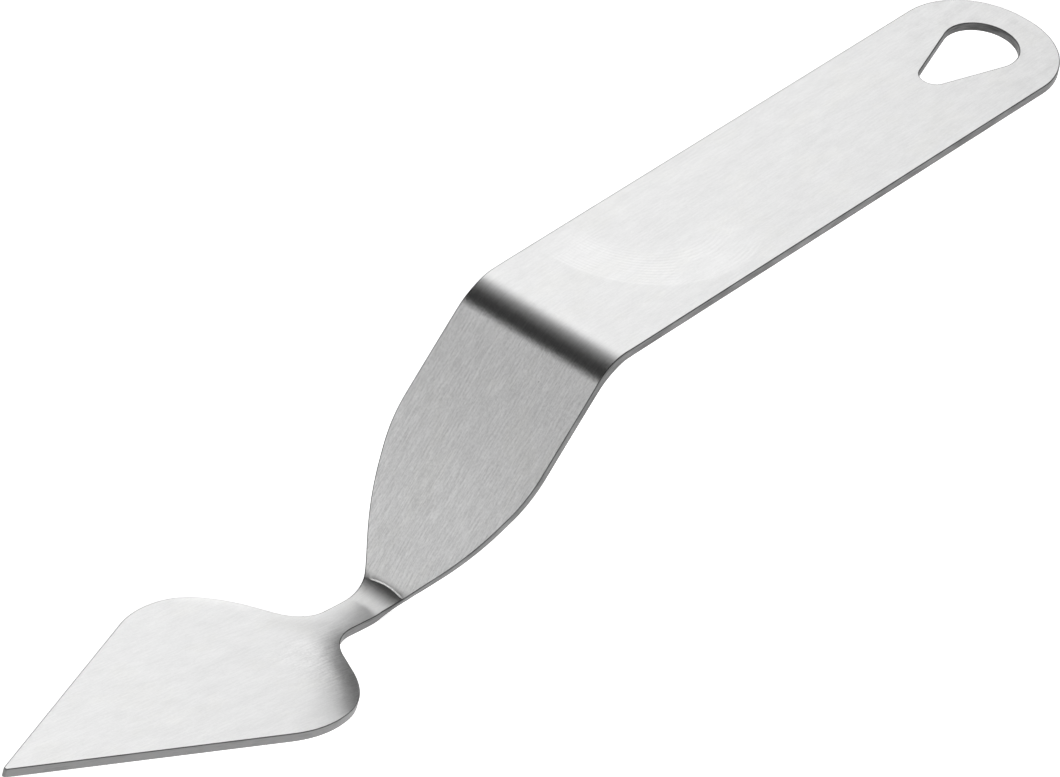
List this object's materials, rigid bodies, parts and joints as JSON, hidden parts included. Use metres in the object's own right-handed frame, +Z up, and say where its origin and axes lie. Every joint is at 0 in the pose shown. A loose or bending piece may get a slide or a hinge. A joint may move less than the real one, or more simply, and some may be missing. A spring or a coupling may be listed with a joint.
{
  "type": "palette knife",
  "caption": "Cranked palette knife folded from one steel strip: pointed leaf-shaped blade, narrow neck, sloping shank and flat round-ended handle with a teardrop hanging hole.",
  "frame": {"origin": "centre of the knife's footprint, on the level surface that it lies on", "axes": "+X from the blade's tip to the handle's end, +Y across the blade, +Z up; the knife lies as it does on a table, on its heel and on its handle's end, with the blade's tip raised"},
  "size_m": [0.1966, 0.0298, 0.0282],
  "materials": {
    "steel": "fine lengthwise brush grain, softly reflecting, with plain sheared edges"
  },
  "bodies": {
    "root": {"knife_body": "steel"}
  },
  "joints": []
}
